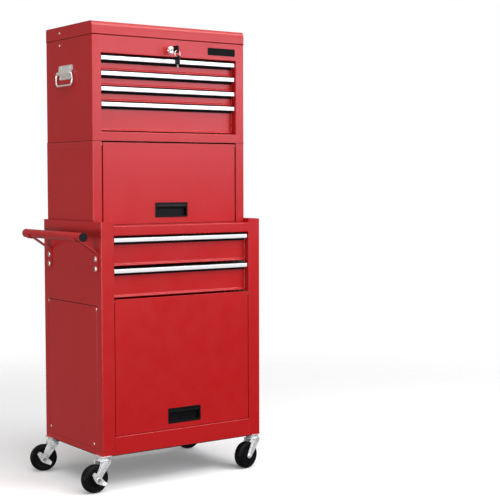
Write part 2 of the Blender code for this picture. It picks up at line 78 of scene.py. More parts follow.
def joint_point(name):
    """Where a hinge is, in cabinet millimetres."""
    return (Vector(JOINTS[name]["pos_m"]) - ORIGIN) / MM


# ---------------------------------------------------------------- mesh helpers


def finished(bm):
    """The mesh with all its faces turned outwards."""
    bmesh.ops.recalc_face_normals(bm, faces=bm.faces)
    return bm


def block(x, y, z):
    """A box between the two ends given on each axis."""
    bm = bmesh.new()
    bmesh.ops.create_cube(bm, size=1.0)
    size = Vector((abs(x[1] - x[0]), abs(y[1] - y[0]), abs(z[1] - z[0])))
    centre = Vector((x[0] + x[1], y[0] + y[1], z[0] + z[1])) / 2
    bmesh.ops.scale(bm, vec=size, verts=bm.verts)
    bmesh.ops.translate(bm, vec=centre, verts=bm.verts)
    return finished(bm)


def spot(axis, depth, a, b):
    """A point from its depth along axis and its two other coordinates in XYZ order."""
    point = [a, b]
    point.insert(axis, depth)
    return point


def prism(outline, axis, low, high):
    """The outline, given in the two other axes in XYZ order, drawn out along axis."""
    bm = bmesh.new()
    ends = [[bm.verts.new(spot(axis, depth, a, b)) for a, b in outline] for depth in (low, high)]
    count = len(outline)
    bm.faces.new(ends[0])
    bm.faces.new(ends[1][::-1])
    for i in range(count):
        j = (i + 1) % count
        bm.faces.new((ends[0][i], ends[0][j], ends[1][j], ends[1][i]))
    return finished(bm)


def ring_prism(outer, inner, axis, low, high):
    """The outer outline drawn out along axis with the inner one left open; both have as many points."""
    bm = bmesh.new()
    rows = []
    for outline, depth in ((outer, low), (outer, high), (inner, high), (inner, low)):
        rows.append([bm.verts.new(spot(axis, depth, a, b)) for a, b in outline])
    count = len(outer)
    for k in range(4):
        first, second = rows[k], rows[(k + 1) % 4]
        for i in range(count):
            j = (i + 1) % count
            bm.faces.new((first[i], first[j], second[j], second[i]))
    return finished(bm)


def turned(profile, axis, centre, steps=40):
    """A turned solid: the profile is (distance along axis, radius), the centre in the two other axes."""
    bm = bmesh.new()
    rows = []
    for depth, radius in profile:
        row = []
        for i in range(steps if radius > 1e-6 else 1):
            angle = 2 * math.pi * i / steps
            a = centre[0] + radius * math.cos(angle)
            b = centre[1] + radius * math.sin(angle)
            row.append(bm.verts.new(spot(axis, depth, a, b)))
        rows.append(row)
    for first, second in zip(rows, rows[1:]):
        for i in range(steps):
            j = (i + 1) % steps
            corners = [first[k % len(first)] for k in (i, j)]
            corners += [second[k % len(second)] for k in (j, i)]
            corners = list(dict.fromkeys(corners))
            if len(corners) > 2:
                bm.faces.new(corners)
    for row, ordered in ((rows[0], 1), (rows[-1], -1)):
        if len(row) > 1:
            bm.faces.new(row[::ordered])
    return finished(bm)


def swept(points, radius, sides=14, closed=False):
    """A round rod along a line of points."""
    bm = bmesh.new()
    path = [Vector(p) for p in points]
    count = len(path)
    rows = []
    normal = None
    for i, here in enumerate(path):
        before = path[i - 1] if (i > 0 or closed) else here
        after = path[(i + 1) % count] if (i < count - 1 or closed) else here
        along = (after - before).normalized()
        if normal is None:
            helper = Vector((0, 0, 1)) if abs(along.z) < 0.9 else Vector((1, 0, 0))
            normal = along.cross(helper).normalized()
        normal = (normal - along * normal.dot(along)).normalized()
        across = along.cross(normal)
        row = []
        for k in range(sides):
            angle = 2 * math.pi * k / sides
            offset = normal * math.cos(angle) + across * math.sin(angle)
            row.append(bm.verts.new(here + offset * radius))
        rows.append(row)
    pairs = list(zip(rows, rows[1:]))
    if closed:
        pairs.append((rows[-1], rows[0]))
    for first, second in pairs:
        for k in range(sides):
            m = (k + 1) % sides
            bm.faces.new((first[k], first[m], second[m], second[k]))
    if not closed:
        bm.faces.new(rows[0])
        bm.faces.new(rows[-1][::-1])
    return finished(bm)


def arc(centre, radius, start, end, steps):
    """Points on an arc between two angles in degrees."""
    points = []
    for i in range(steps + 1):
        angle = math.radians(start + (end - start) * i / steps)
        points.append((centre[0] + radius * math.cos(angle), centre[1] + radius * math.sin(angle)))
    return points


def rounded(low, high, radius, steps=5):
    """Outline of a rectangle with four round corners."""
    (a, b), (c, d) = low, high
    points = arc((c - radius, d - radius), radius, 0, 90, steps)
    points += arc((a + radius, d - radius), radius, 90, 180, steps)
    points += arc((a + radius, b + radius), radius, 180, 270, steps)
    points += arc((c - radius, b + radius), radius, 270, 360, steps)
    return points


def eased(path, radius, steps=4, closed=False):
    """The path with each corner turned into a small bend of one radius, or of one radius per corner."""
    points = [Vector(p) for p in path]
    count = len(points)
    out = []
    for i, here in enumerate(points):
        if not closed and i in (0, count - 1):
            out.append(tuple(here))
            continue
        to_before = points[i - 1] - here
        to_after = points[(i + 1) % count] - here
        wanted = radius[i] if isinstance(radius, tuple) else radius
        reach = min(wanted, to_before.length * 0.45, to_after.length * 0.45)
        first = here + to_before.normalized() * reach
        last = here + to_after.normalized() * reach
        for k in range(steps + 1):
            t = k / steps
            point = first * (1 - t) ** 2 + here * 2 * t * (1 - t) + last * t**2
            out.append(tuple(point))
    return out


def folded(path, thickness):
    """Outline of a bent sheet: the path is one face of it and the thickness lies to its left."""
    inner = []
    for i, point in enumerate(path):
        here = Vector(point)
        before = (here - Vector(path[i - 1])).normalized() if i > 0 else None
        after = (Vector(path[i + 1]) - here).normalized() if i < len(path) - 1 else None
        first = before or after
        second = after or before
        left_a = Vector((-first.y, first.x))
        left_b = Vector((-second.y, second.x))
        middle = (left_a + left_b).normalized()
        inner.append(tuple(here + middle * thickness / middle.dot(left_a)))
    return [tuple(p) for p in path] + inner[::-1]


def sheet(path, bend, thickness, axis, low, high):
    """A bent sheet: the path with its bends rounded, given a thickness to its left and drawn out."""
    return prism(folded(eased(path, bend), thickness), axis, low, high)


def flipped(path, side):
    """The path mirrored across the cabinet when side is -1."""
    return [(side * a, b) for a, b in path]


def across(first, last, side):
    """Two distances from the middle as a range on the given side."""
    return sorted((side * first, side * last))


def bevelled(target, width):
    """Small rounded edges of the given width in millimetres."""
    bevel = target.modifiers.new("edges", "BEVEL")
    bevel.width = width * MM
    bevel.segments = 2
    bevel.limit_method = "ANGLE"
    bevel.angle_limit = math.radians(32)
    bevel.harden_normals = False


def evened(target):
    """Keeps broad flats flat where they meet small bends."""
    normals = target.modifiers.new("normals", "WEIGHTED_NORMAL")
    normals.keep_sharp = True


def make(name, shapes, material, body, bevel=0.3, matrix=None, sharp=40, node=None):
    """One new piece from closed shapes in millimetres. It rides on a body and may stand in for a node."""
    bm = bmesh.new()
    for shape in shapes:
        part = bpy.data.meshes.new("part")
        shape.to_mesh(part)
        shape.free()
        bm.from_mesh(part)
        bpy.data.meshes.remove(part)
    bmesh.ops.scale(bm, vec=(MM, MM, MM), verts=bm.verts)
    if matrix:
        bmesh.ops.transform(bm, matrix=matrix, verts=bm.verts)
    mesh = bpy.data.meshes.new(name)
    bm.to_mesh(mesh)
    bm.free()
    mesh.materials.append(material)
    mesh.shade_smooth()
    mesh.set_sharp_from_angle(angle=math.radians(sharp))
    made = bpy.data.objects.new(name, mesh)
    bpy.context.scene.collection.objects.link(made)
    made.matrix_world = CABINET
    if bevel:
        bevelled(made, bevel)
    evened(made)
    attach(made, body)
    if node:
        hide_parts(node)
    return made


# ---------------------------------------------------------------- materials


class Nodes:
    """Short ways to wire a Principled material."""

    def __init__(self, name):
        self.material = bpy.data.materials.new(name)
        self.material.use_nodes = True
        self.tree = self.material.node_tree
        self.shader = self.tree.nodes["Principled BSDF"]
        self.where = self.add("ShaderNodeTexCoord").outputs["Object"]

    def add(self, kind, **settings):
        """A new node with its plain settings."""
        node = self.tree.nodes.new(kind)
        for key, value in settings.items():
            setattr(node, key, value)
        return node

    def link(self, output, target):
        self.tree.links.new(output, target)

    def stretched(self, scale):
        """The object's own coordinates, scaled per axis to draw a grain out."""
        mapping = self.add("ShaderNodeMapping")
        mapping.inputs["Scale"].default_value = scale
        self.link(self.where, mapping.inputs["Vector"])
        return mapping.outputs["Vector"]

    def noise(self, scale, detail=3.0, stretch=None):
        """Cloudy noise over the object, mostly between 0.3 and 0.7."""
        node = self.add("ShaderNodeTexNoise")
        node.inputs["Scale"].default_value = scale
        node.inputs["Detail"].default_value = detail
        self.link(self.stretched(stretch) if stretch else self.where, node.inputs["Vector"])
        return node.outputs["Fac"]

    def spread(self, value, low, high):
        """The value, usually 0.3 to 0.7, as a number from low to high."""
        node = self.add("ShaderNodeMapRange")
        node.inputs["From Min"].default_value = 0.3
        node.inputs["From Max"].default_value = 0.7
        node.inputs["To Min"].default_value = low
        node.inputs["To Max"].default_value = high
        self.link(value, node.inputs["Value"])
        return node.outputs["Result"]

    def colours(self, value, first, second):
        """A mix of two fixed colours."""
        node = self.add("ShaderNodeMix", data_type="RGBA")
        node.inputs[6].default_value = (*first, 1.0)
        node.inputs[7].default_value = (*second, 1.0)
        self.link(value, node.inputs[0])
        return node.outputs[2]

    def blend(self, value, first, second):
        """A colour from a socket, mixed towards a fixed colour."""
        node = self.add("ShaderNodeMix", data_type="RGBA")
        node.inputs[7].default_value = (*second, 1.0)
        self.link(value, node.inputs[0])
        self.link(first, node.inputs[6])
        return node.outputs[2]

    def edges(self, radius):
        """0 on flats, rising to 0.6 along edges, within the radius in millimetres."""
        soft = self.add("ShaderNodeBevel", samples=4)
        soft.inputs["Radius"].default_value = radius * MM
        flat = self.add("ShaderNodeNewGeometry").outputs["Normal"]
        match = self.add("ShaderNodeVectorMath", operation="DOT_PRODUCT")
        self.link(soft.outputs["Normal"], match.inputs[0])
        self.link(flat, match.inputs[1])
        node = self.add("ShaderNodeMapRange")
        node.inputs["From Min"].default_value = 0.99
        node.inputs["From Max"].default_value = 0.80
        node.inputs["To Max"].default_value = 0.6
        self.link(match.outputs["Value"], node.inputs["Value"])
        return node.outputs["Result"]

    def bump(self, value, strength, distance):
        """A normal that raises the surface by up to the distance in metres."""
        node = self.add("ShaderNodeBump")
        node.inputs["Strength"].default_value = strength
        node.inputs["Distance"].default_value = distance
        self.link(value, node.inputs["Height"])
        return node.outputs["Normal"]

    def set(self, **values):
        """Sets or links the shader's inputs, named with _ for each space."""
        for key, value in values.items():
            socket = self.shader.inputs[key.replace("_", " ")]
            if isinstance(value, bpy.types.NodeSocket):
                self.link(value, socket)
            else:
                socket.default_value = value


ENAMEL_SHINE = 0.5
# Pale pink mixed in along every edge: partly paint thinned by wear, partly a painted highlight of the bends.
EDGE_WEAR_AND_HIGHLIGHT = (0.62, 0.11, 0.11)


def enamel(name, dark, light, roughness):
    """Baked enamel on steel: faint cloudiness, orange peel, and a paler pink along the edges that is partly paint
    thinned by wear and partly a painted highlight.
    """
    n = Nodes(name)
    cloud = n.spread(n.noise(4.0, 2.0), 0.0, 1.0)
    base = n.colours(cloud, dark, light)
    # Edges go pale pink: wear and a painted highlight together.
    edge_wear_and_highlight = n.blend(n.edges(1.0), base, EDGE_WEAR_AND_HIGHLIGHT)
    n.set(Base_Color=edge_wear_and_highlight)
    n.set(Roughness=n.spread(n.noise(22.0, 3.0), roughness - 0.03, roughness + 0.04))
    n.set(Normal=n.bump(n.noise(650.0, 2.0), 0.10, 0.0002))
    n.set(Specular_IOR_Level=ENAMEL_SHINE)
    return n.material


def plated(name, dark, light, low, high, grain=None, metallic=1.0):
    """Bare or plated metal with a grain or a mottle."""
    n = Nodes(name)
    texture = n.noise(60.0, 4.0, grain) if grain else n.noise(90.0, 4.0)
    base = n.colours(n.spread(texture, 0.0, 1.0), dark, light)
    n.set(Base_Color=n.blend(n.edges(0.5), base, light))
    n.set(Roughness=n.spread(texture, low, high), Metallic=metallic)
    n.set(Normal=n.bump(texture, 0.05, 0.0001))
    return n.material


def plastic(name, colour, roughness, grain, strength, shine=0.3):
    """Moulded plastic or rubber with a fine spark grain, rubbed a little lighter along the edges."""
    n = Nodes(name)
    lighter = tuple(c * 1.6 + 0.001 for c in colour)
    base = n.colours(n.spread(n.noise(30.0), 0.0, 1.0), colour, lighter)
    n.set(Base_Color=n.blend(n.edges(0.5), base, tuple(c * 2.2 + 0.004 for c in colour)))
    n.set(Roughness=n.spread(n.noise(80.0), roughness - 0.05, roughness + 0.06))
    n.set(Normal=n.bump(n.noise(grain, 2.0), strength, 0.0002), Specular_IOR_Level=shine)
    return n.material


def ribbed_liner(name):
    """Black ribbed drawer mat, ribs running across the drawer."""
    n = Nodes(name)
    wave = n.add("ShaderNodeTexWave", wave_type="BANDS", bands_direction="Y", wave_profile="SIN")
    wave.inputs["Scale"].default_value = 60.0
    n.link(n.where, wave.inputs["Vector"])
    n.set(Base_Color=n.colours(n.spread(n.noise(40.0), 0.0, 1.0), (0.012,) * 3, (0.022,) * 3))
    n.set(Roughness=0.75, Normal=n.bump(wave.outputs["Fac"], 0.5, 0.0008))
    return n.material


RED = enamel("red_enamel", (0.405, 0.0040, 0.0050), (0.430, 0.0050, 0.0060), 0.32)
STRIP = plated("brushed_strip", (0.82,) * 3, (0.87,) * 3, 0.30, 0.40, (1.0, 30.0, 30.0), 0.45)
ZINC = plated("zinc_plating", (0.80, 0.81, 0.82), (0.95, 0.96, 0.96), 0.22, 0.38, metallic=0.55)
CHROME = plated("bright_plating", (0.86, 0.83, 0.78), (0.95, 0.93, 0.90), 0.10, 0.20, metallic=0.6)
PLASTIC = plastic("black_moulding", (0.003, 0.003, 0.0035), 0.34, 900.0, 0.12, 0.16)
RUBBER = plastic("black_rubber", (0.002, 0.002, 0.0025), 0.42, 700.0, 0.2, 0.12)
LINER = ribbed_liner("ribbed_liner")
BLADE = plated("key_steel", (0.66, 0.62, 0.52), (0.80, 0.78, 0.70), 0.18, 0.30)
# Flat black: the badge's own colour, elsewhere painted shade in seams, gaps, screw crosses, under the cabinet and
# around the pull strips.
DARK = plastic("black_and_painted_shade", (0.003, 0.003, 0.003), 0.7, 500.0, 0.1, 0.1)
SLOT_FINISH = {
    "red_paint": RED,
    "bright_aluminium": STRIP,
    "zinc_plate": ZINC,
    "chrome": CHROME,
    "black_plastic": PLASTIC,
    "black_tyre": RUBBER,
}


def finish_frame():
    """Gives every CAD node its finish and small rounded edges."""
    for name, node in frame["nodes"].items():
        node.data.materials.clear()
        node.data.materials.append(SLOT_FINISH[SLOTS[name]])
        weld = node.modifiers.new("weld", "WELD")
        weld.merge_threshold = 0.00001
        flat = node.modifiers.new("flat", "DECIMATE")
        flat.decimate_type = "DISSOLVE"
        flat.angle_limit = math.radians(1)
        for polygon in node.data.polygons:
            polygon.use_smooth = True
        bevelled(node, 0.45)
        evened(node)


finish_frame()


# ---------------------------------------------------------------- sheet steel shells

# Sheet thickness, bend sizes, and the inner edge of every front stile.
SHEET = 1.2
BEND = 3.0
EDGE = 1.0
STILE_X = 217.0

# Lower cabinet: outer faces, the rails' span, the floors and the access panel.
SIDE_X = 255.0
DEPTH = 336.0
CABINET_RAIL = (-216.6, 216.6)
RAIL_BEND = 2.6
FLOOR_Y = (0.6, 332.6)
TRAY_Z = (693.8, 695.0)
FLOOR_Z = (97.2, 98.6)
PANEL_FRONT = 26
PANEL_STEP = 146.0

# Middle and top chest: outer faces, rails and floors, and the opening for the drawers.
CHEST_X = 244.5
CHEST_BACK = 330.0
CHEST_RIM = 1210.0
CHEST_RAIL = (-217.6, 217.6)
CHEST_FLOOR = (-244, 244)
CHEST_BENDS = (0, EDGE, BEND, BEND, BEND, BEND, EDGE, 0)
DRAWER_OPENING = (954.5, 1162.0)
TILL_Z = (1164.5, 1165.7)

# Lid: its lower edge, the height and depth of its front round, and the long hinge.
LID_FOOT = 1210.8
LID_DROP = 15.0
LID_REACH = 9.0
CHEST_KNUCKLES = ((-220, -140), (-40, 40), (140, 220))
LID_KNUCKLES = ((-139.4, -40.6), (40.6, 139.4))
LEAF_Y = (329.2, 333)


def lower_sides():
    """Front stile, jamb, side and rear flange in one bent sheet, with a slot for the door's rod."""
    low, high = mm_box("lower_side_right")
    rod_z = joint_point("lower_door_flip").z
    slot_low, slot_high = rod_z - 6, rod_z + 6.2
    bends = (0, EDGE, BEND, BEND, 0)
    rear = [(SIDE_X, DEPTH), (SIDE_X - 15, DEPTH)]
    for tag, side in SIDES:
        tail = rear if side > 0 else [(SIDE_X, PANEL_FRONT)]
        shapes = [] if side > 0 else left_side_frame(low.z, high.z, rear)
        full = [(STILE_X, 20), (STILE_X, 0), (SIDE_X, 0), *tail]
        slotted = [(STILE_X, 3.4), *full[1:]]
        for path, start, end in (
            (full, low.z, slot_low),
            (full, slot_high, high.z),
            (slotted, slot_low, slot_high),
        ):
            outline = flipped(folded(eased(path, bends), SHEET), side)
            shapes.append(prism(outline, 2, start, end))
        name = f"lower_side_{tag}"
        make(f"{name}_sheet", shapes, RED, "lower_cabinet", bevel=0, node=name)


def left_side_frame(low, high, rear):
    """What surrounds the access panel on the left side, and the frame behind its edges."""
    panel_low, panel_high = mm_box("access_panel")
    y = (panel_low.y - 0.5, panel_high.y + 0.5)
    z = (panel_low.z - 0.5, panel_high.z + 0.5)
    skin = (-SIDE_X, SHEET - SIDE_X)
    tail = flipped(folded(eased([(SIDE_X, y[1]), *rear], BEND), SHEET), -1)
    outer = [(y[0] - 6, z[0] - 6), (y[1] + 6, z[0] - 6), (y[1] + 6, z[1] + 6), (y[0] - 6, z[1] + 6)]
    inner = [(y[0] + 5, z[0] + 5), (y[1] - 5, z[0] + 5), (y[1] - 5, z[1] - 5), (y[0] + 5, z[1] - 5)]
    return [
        prism(tail, 2, low, high),
        block(skin, y, (low, z[0])),
        block(skin, y, (z[1], high)),
        ring_prism(outer, inner, 0, -253.9, -252.7),
    ]


def access_panel():
    """The screwed-on plate, its raised field, and a dark band behind the plate that shows as a line around it:
    painted shadow in the gap.
    """
    low, high = mm_box("access_panel")
    outline = rounded((low.y + 0.2, low.z + 0.2), (high.y - 0.2, high.z - 0.2), 3.0)
    # Dark band just outside the plate's edge: a painted shadow of the gap around the panel.
    gap_shadow = prism(outline, 0, low.x + 0.45, high.x - 0.1)
    make("panel_gap_shadow", [gap_shadow], DARK, "lower_cabinet", bevel=0)
    outline = rounded((low.y + 0.6, low.z + 0.6), (high.y - 0.6, high.z - 1.9), 3.0)
    plate = prism(outline, 0, low.x, high.x)
    make("panel_plate", [plate], RED, "lower_cabinet", bevel=0.35, node="access_panel")
    outline = rounded((low.y + 1.4, PANEL_STEP), (high.y - 1.4, high.z - 2.7), 3.0)
    field = prism(outline, 0, low.x - 0.5, low.x + 0.3)
    make("panel_field", [field], RED, "lower_cabinet", bevel=0.4)


def cross_rails():
    """The rails above the drawers and below the door, the floors behind them, a dark sheet underneath and a
    painted shadow line around the foot.
    """
    low, high = mm_box("lower_tray")
    top = high.z
    foot = top - 26.7
    path = [(7, top), (0, top), (0, foot), (18, foot), (18, foot + 8)]
    rail = sheet(path, RAIL_BEND, SHEET, 0, *CABINET_RAIL)
    floor = block((low.x, high.x), FLOOR_Y, TRAY_Z)
    make("tray_sheet", [rail, floor], RED, "lower_cabinet", bevel=0, node="lower_tray")
    low, high = mm_box("lower_floor")
    path = [(18, high.z - 8), (18, high.z), (0, high.z), (0, low.z)]
    rail = sheet(path, RAIL_BEND, SHEET, 0, *CABINET_RAIL)
    floor = block((low.x, high.x), FLOOR_Y, FLOOR_Z)
    make("floor_sheet", [rail, floor], RED, "lower_cabinet", bevel=0, node="lower_floor")
    # Dark sheet below the lower floor: a guessed undercoat that also keeps red bounce out of the shade beneath.
    # Dark ring at the sides' foot: a painted shadow line.
    underside = block((-251, 251), (3, 331), (FLOOR_Z[0] - 0.6, FLOOR_Z[0] - 0.1))
    outer = [(-253.6, 1.4), (253.6, 1.4), (253.6, 334.0), (-253.6, 334.0)]
    inner = [(-251.6, 3.4), (251.6, 3.4), (251.6, 332.0), (-251.6, 332.0)]
    hem = ring_prism(outer, inner, 2, 94.6, 97.6)
    make("underside_coat_and_shadow_hem", [underside, hem], DARK, "lower_cabinet", bevel=0)


def chest_wall(front, back, low, high):
    """Both stiles, sides and the back of a chest, bent from one sheet."""
    right = [(STILE_X, front + 20), (STILE_X, front), (CHEST_X, front), (CHEST_X, back)]
    left = [(-x, y) for x, y in right[::-1]]
    return sheet(right + left, CHEST_BENDS, SHEET, 2, low, high)


def middle_chest():
    """Open-topped shell with a slot for the door's rod, its ledges and the rod's two tracks."""
    low, high = mm_box("middle_body")
    rod_z = joint_point("middle_door_flip").z
    slot = (rod_z - 4, rod_z + 4)
    front, back = low.y, high.y
    shapes = [
        chest_wall(front, back, low.z, slot[0]),
        chest_wall(front, back, slot[1], high.z),
        block(CHEST_FLOOR, (front + 0.5, back - 0.5), (low.z + 0.2, low.z + 1.6)),
        block(CHEST_RAIL, (front + 0.1, front + 1.3), (low.z + 0.1, 705.2)),
        block(CHEST_FLOOR, (back - 21.5, back - 0.5), (high.z - 1.3, high.z - 0.3)),
    ]
    wall = [(STILE_X, front + 3.4), (STILE_X, front), (CHEST_X, front), (CHEST_X, back)]
    around = wall + [(-x, y) for x, y in wall[::-1]]
    shapes.append(sheet(around, CHEST_BENDS, SHEET, 2, *slot))
    for _, side in SIDES:
        ledge = block(across(222, 244.1, side), (front + 0.6, back - 0.6), (high.z - 2, high.z - 0.2))
        shapes.append(ledge)
        sill, head = rod_z - 5.4 - SHEET, rod_z + 5.4 + SHEET
        track = [(219, sill), (229.4, sill), (229.4, head), (219, head)]
        shapes.append(prism(flipped(folded(track, SHEET), side), 1, front + 1.8, 328))
    make("middle_shell", shapes, RED, "middle_chest", bevel=0, node="middle_body")


def seam_shadow(name, front, back, z):
    """A thin dark strip around the front and sides of the top chest, where another part meets it: a painted shadow
    line along the seam.
    """
    shapes = [block((-CHEST_X, CHEST_X), (front - 0.25, front + 0.4), z)]
    for _, side in SIDES:
        shapes.append(block(across(CHEST_X - 0.4, CHEST_X + 0.25, side), (front, back - 1), z))
    make(name, shapes, DARK, "top_chest", bevel=0)


def top_chest():
    """Shell with the rails above and below the drawers, floor, till floor and its part of the hinge."""
    low, _ = mm_box("top_body")
    hinge = joint_point("lid_hinge")
    front, back = low.y, CHEST_BACK
    depth = (front + 0.5, back - 0.5)
    bottom, top = DRAWER_OPENING
    sill = [(front + 18, bottom - 9), (front + 18, bottom), (front, bottom), (front, low.z)]
    head = [(front + 7, CHEST_RIM), (front, CHEST_RIM), (front, top), (front + 18, top)]
    shapes = [
        chest_wall(front, back, low.z, CHEST_RIM),
        sheet(sill, 2.4, SHEET, 0, *CHEST_RAIL),
        sheet(head, 2.0, SHEET, 0, *CHEST_RAIL),
        block(CHEST_FLOOR, depth, (low.z + 0.2, low.z + 1.6)),
        block(CHEST_FLOOR, depth, TILL_Z),
    ]
    for a, b in CHEST_KNUCKLES:
        shapes.append(knuckle(hinge, a, b))
        shapes.append(block((a + 1, b - 1), LEAF_Y, (hinge.z - 2.6, hinge.z - 0.9)))
    make("top_shell", shapes, RED, "top_chest", bevel=0, node="top_body")
    # Dark strips at the lid's lower edge and at the chest's foot: painted shadow lines of both seams.
    seam_shadow("lid_seam_shadow", front, back, (CHEST_RIM - 0.7, CHEST_RIM + 0.6))
    seam_shadow("chest_seam_shadow", front, back, (low.z - 0.4, low.z + 0.6))


def knuckle(hinge, low, high):
    """One rolled length of the lid's long hinge, slightly eased at its ends."""
    profile = [(low, 2.2), (low + 0.6, 2.8), (high - 0.6, 2.8), (high, 2.2)]
    return turned(profile, 0, (hinge.y, hinge.z), 20)


def lid():
    """Lid skin with a full round along its top front edge, a turned-in hem and its part of the hinge."""
    low, high = mm_box("top_lid")
    front, top = low.y, high.z
    hinge = joint_point("lid_hinge")
    back, foot = CHEST_BACK, LID_FOOT
    nose = [(front, top - LID_DROP)]
    for k in range(1, 9):
        t = k / 8
        y = front + LID_REACH * t**2
        z = top - LID_DROP * (1 - t) ** 2
        nose.append((y, z))
    heel = arc((back - 6, top - 6), 6.0, 0, 90, 5)
    path = [(back, foot), *heel, *nose[::-1], (front, foot + 1.4), (front + 1.4, foot), (front + 7, foot)]
    cap = [(back, foot), *heel, *nose[::-1], (front, foot)]
    shapes = [prism(folded(path, SHEET), 0, -CHEST_X, CHEST_X)]
    for _, side in SIDES:
        shapes.append(prism(cap, 0, *across(CHEST_X - SHEET, CHEST_X, side)))
    for a, b in LID_KNUCKLES:
        shapes.append(knuckle(hinge, a, b))
        shapes.append(block((a + 1, b - 1), LEAF_Y, (hinge.z + 0.9, hinge.z + 2.6)))
    make("lid_skin", shapes, RED, "lid", bevel=0.5, node="top_lid")


lower_sides()
access_panel()
cross_rails()
middle_chest()
top_chest()
lid()


# ---------------------------------------------------------------- drawers

# The face's place behind the foremost lip, a side wall, what each strip loses at its foot, and per
# set of drawers its name, count and the height of the ribs above the drawer's foot.
FACE_INSET = 3.6
WALL_X = (203, 204)
STRIP_TRIM = 2.0
DRAWER_SETS = (("lower", 2, 30.0), ("top", 4, 16.0))


def drawer_box(name, node, body, rib_rise):
    """Drawer with a flared bottom lip, rolled top edges and the ribs that run on the ledges."""
    low, high = mm_box(node)
    face, back = low.y + FACE_INSET, high.y
    z, face_top = low.z, high.z
    rim = face_top - 7
    rib = z + rib_rise
    half = high.x
    path = [(face + 5, face_top), (face, face_top), (face, z + 6.4), (face - 3.5, z + 3.0)]
    path += [(face - 3.5, z + 0.2), (face + 2, z + 0.2)]
    shapes = [
        sheet(path, 1.6, SHEET, 0, -half, half),
        block((-WALL_X[1], WALL_X[1]), (face + 0.4, back), (z + 3, z + 4)),
        block((-WALL_X[1], WALL_X[1]), (back - 1, back), (z + 3, rim - 0.6)),
    ]
    for _, side in SIDES:
        shapes.append(block(across(*WALL_X, side), (face + 0.4, back), (z + 3, rim - 0.6)))
        shapes.append(block(across(203.5, 214, side), (face + 3, back - 0.6), (rib - 1.5, rib + 1.5)))
    bead = [(-203.4, face + 1.2, rim - 1.2), (-203.4, back - 0.9, rim - 1.2)]
    bead += [(203.4, back - 0.9, rim - 1.2), (203.4, face + 1.2, rim - 1.2)]
    shapes.append(swept(eased(bead, 3.0), 1.2, 10))
    make(name, shapes, RED, body, bevel=0, node=node)


def strip(name, node, body):
    """Bright pull strip: a rounded channel whose lower edge turns in under the fingers."""
    low, high = mm_box(node)
    nose, rear, top = low.y, high.y, high.z
    foot = low.z + STRIP_TRIM
    path = [(rear, top - 8), (rear, top), (nose, top), (nose, foot), (nose + 5, foot)]
    channel = sheet(path, 1.6, 1.4, 0, low.x, high.x)
    make(name, [channel], STRIP, body, bevel=0.25, node=node)


def liner(name, node, body):
    """A thin mat on the drawer's floor."""
    low, high = mm_box(node)
    wall = 13.0
    corner_low = (low.x + wall, low.y + 7.0)
    corner_high = (high.x - wall, high.y - 2.6)
    mat = prism(rounded(corner_low, corner_high, 3.0), 2, low.z + 4.3, low.z + 6.3)
    make(name, [mat], LINER, body, bevel=0.2)


def finger_strip_shadow(name, node, strip_node, body):
    """Black bands on the face just below the strip and along its top: painted shadows cast by the strip."""
    face_low, face_high = mm_box(node)
    face, half = face_low.y + FACE_INSET, face_high.x
    low, high = mm_box(strip_node)
    strip_shadow = block((-half, half), (face - 0.4, face + 0.3), (low.z - 5.0, low.z + 4))
    # The black lip above the strip is a painted shadow line too.
    lip = block((low.x, high.x), (low.y + 1.5, face + 1), (high.z - 0.4, high.z + 2.2))
    make(name, [strip_shadow, lip], DARK, body, bevel=0.15)


def drawers():
    """Every drawer of the cabinet and the top chest; a drawer's node and its body share one name."""
    for prefix, count, rib_rise in DRAWER_SETS:
        for i in range(1, count + 1):
            drawer, pull = f"{prefix}_drawer_{i}", f"{prefix}_pull_{i}"
            liner(f"{prefix}_liner_{i}", drawer, drawer)
            drawer_box(f"{drawer}_box", drawer, drawer, rib_rise)
            strip(f"{prefix}_strip_{i}", pull, drawer)
            finger_strip_shadow(f"{prefix}_pad_{i}", drawer, pull, drawer)


drawers()


# ---------------------------------------------------------------- door grips


def door_grip(prefix):
    """Moulded finger grip: a rounded rim, a deep cup and a hood across its upper third."""
    node = f"{prefix}_door_grip"
    low, high = mm_box(node)
    front = low.y
    outer = rounded((low.x, low.z), (high.x, high.z), 2.2)
    mouth = rounded((low.x + 4.4, low.z + 4.2), (high.x - 4.4, high.z - 4.2), 1.8)
    rim = ring_prism(outer, mouth, 1, front, front + 0.8)
    shell = rounded((low.x + 2.6, low.z + 2.6), (high.x - 2.6, high.z - 2.6), 1.8)
    walls = ring_prism(shell, mouth, 1, front + 0.6, high.y - 1.2)
    floor = prism(shell, 1, high.y - 1.4, high.y)
    hood_low = high.z - 15.0
    lip = [(front + 1.2, high.z - 4.4), (front + 0.5, hood_low + 3)]
    lip += [(front + 1.6, hood_low), (front + 3.4, hood_low - 0.4)]
    hood = sheet(lip, 3.0, 1.2, 0, low.x + 4.0, high.x - 4.0)
    shapes = [rim, walls, floor, hood]
    make(f"{prefix}_grip", shapes, PLASTIC, f"{prefix}_door", bevel=0.25, node=node)


door_grip("lower")
door_grip("middle")


# ---------------------------------------------------------------- screws, rivets and bolts

# Heights of the handle's bolts, and the radii of heads and washers.
BOLT_LEVELS = (("upper", 618.0), ("lower", 592.0))
BOLT_HEAD = 5.6
WASHER = 6.8
SCREW_HEAD = 3.4


def dome(axis, side, face, centre, radius, height, steps=20):
    """A low domed head that sits on a face, pointing to the given side along axis."""
    profile = [(face, radius), (face + side * height * 0.35, radius)]
    for angle in (25, 50, 75):
        a = math.radians(angle)
        depth = face + side * height * (0.35 + 0.65 * math.sin(a))
        profile.append((depth, radius * math.cos(a * 0.92)))
    profile.append((face + side * height, 0.0))
    return turned(profile, axis, centre, steps)


